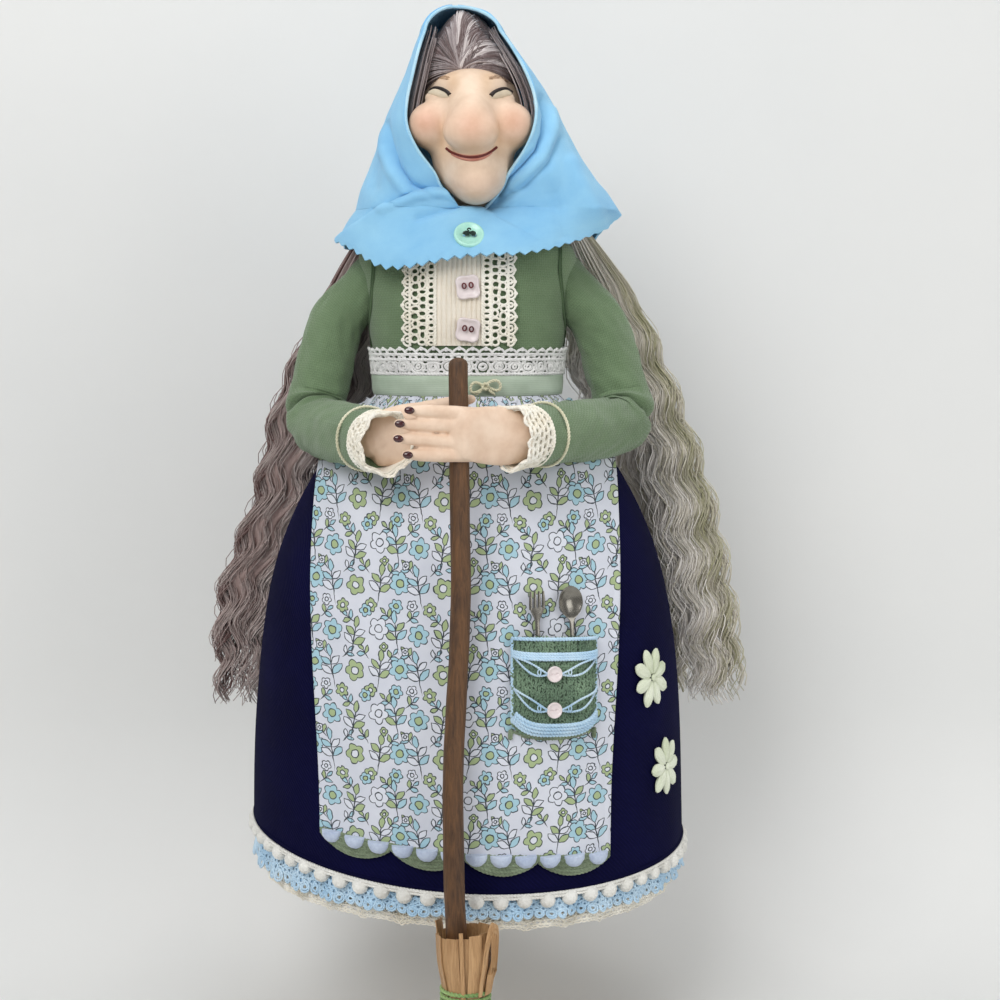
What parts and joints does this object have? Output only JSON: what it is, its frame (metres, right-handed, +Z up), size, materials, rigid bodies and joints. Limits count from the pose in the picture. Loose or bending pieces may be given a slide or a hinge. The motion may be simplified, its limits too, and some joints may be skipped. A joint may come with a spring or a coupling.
{
  "type": "apple head doll",
  "caption": "Cloth doll of a smiling old woman with a modelled head, scarf, apron and long hair, whose hands rest on a broom.",
  "frame": {"origin": "centre of the hanging ring at the doll's back", "axes": "+Z up, along the doll's height; the doll looks along -Y; +X to the right of someone who faces it"},
  "size_m": [0.2202, 0.1971, 0.41],
  "materials": {
    "wadding": "matte",
    "card": "matte",
    "navy_twill": "matte",
    "green_linen": "matte",
    "blue_cotton": "matte",
    "white_print": "matte",
    "cream_lace": "matte",
    "white_lace": "matte",
    "blue_lace": "matte",
    "sage_lace": "matte",
    "sage_knit": "matte",
    "sage_ribbon": "satin",
    "white_pom": "matte",
    "lilac_pom": "matte",
    "cream_cord": "matte",
    "blue_cord": "matte",
    "green_cord": "matte",
    "mint_plastic": "gloss",
    "white_plastic": "gloss",
    "flesh_clay": "satin",
    "mauve_hair": "satin",
    "pale_hair": "satin",
    "brown_wood": "matte",
    "pale_wood": "matte",
    "steel": "satin",
    "brass": "satin",
    "petal_felt": "matte"
  },
  "bodies": {
    "doll": {"torso_core": "wadding", "bodice": "green_linen", "sleeve_upper_left": "green_linen", "sleeve_upper_right": "green_linen", "sleeve_lower_left": "green_linen", "sleeve_lower_right": "green_linen", "arm_wire_left": "steel", "arm_wire_right": "steel", "cuff_lace_left": "cream_lace", "cuff_lace_right": "cream_lace", "sleeve_piping_left": "cream_cord", "sleeve_piping_right": "cream_cord", "hand_front": "flesh_clay", "hand_back": "flesh_clay", "blouse_front": "cream_lace", "lace_strip_left": "cream_lace", "lace_strip_right": "cream_lace", "waist_lace": "white_lace", "waist_ribbon": "sage_ribbon", "waist_cord_bow": "cream_cord", "blouse_button_upper": "white_plastic", "blouse_button_lower": "white_plastic", "skirt_form": "wadding", "base_disc": "card", "skirt": "navy_twill", "hem_pom_trim": "white_pom", "blue_frill": "blue_lace", "cream_frill": "cream_lace", "apron": "white_print", "apron_top_lace": "white_lace", "apron_pom_trim": "lilac_pom", "apron_scallop_trim": "sage_lace", "pocket": "sage_knit", "pocket_trim": "blue_lace", "pocket_button_upper": "white_plastic", "pocket_button_lower": "white_plastic", "pocket_loop_upper": "blue_cord", "pocket_loop_lower": "blue_cord", "flower_upper": "petal_felt", "flower_lower": "petal_felt", "scarf_cape": "blue_cotton", "scarf_button": "mint_plastic", "hair_lock_left_side": "mauve_hair", "hair_lock_left_back": "mauve_hair", "hair_lock_right_side": "pale_hair", "hair_lock_right_back": "pale_hair", "hanging_ring": "brass", "ring_tab": "green_linen"},
    "head_group": {"head": "flesh_clay", "neck_dowel": "pale_wood", "hair_cap": "mauve_hair", "scarf_hood": "blue_cotton"},
    "broom": {"broom_handle": "brown_wood", "broom_splints": "pale_wood", "broom_tie": "green_cord"},
    "fork_body": {"fork": "steel"},
    "spoon_body": {"spoon": "steel"}
  },
  "joints": [
    {"name": "head_turn", "type": "hinge", "parent": "doll", "child": "head_group", "pos_m": [0.0018, -0.0325, 0.0445], "axis": [0, 0, 1], "range_deg": [-15, 15]},
    {"name": "broom_slide", "type": "slide", "parent": "doll", "child": "broom", "axis": [-0.0123, 0.1211, 0.9926], "range_m": [-0.012, 0.01]},
    {"name": "fork_slide", "type": "slide", "parent": "doll", "child": "fork_body", "axis": [-0.0278, 0.0944, 0.9951], "range_m": [0, 0.02]},
    {"name": "spoon_slide", "type": "slide", "parent": "doll", "child": "spoon_body", "axis": [-0.042, 0.0903, 0.995], "range_m": [0, 0.02]}
  ]
}
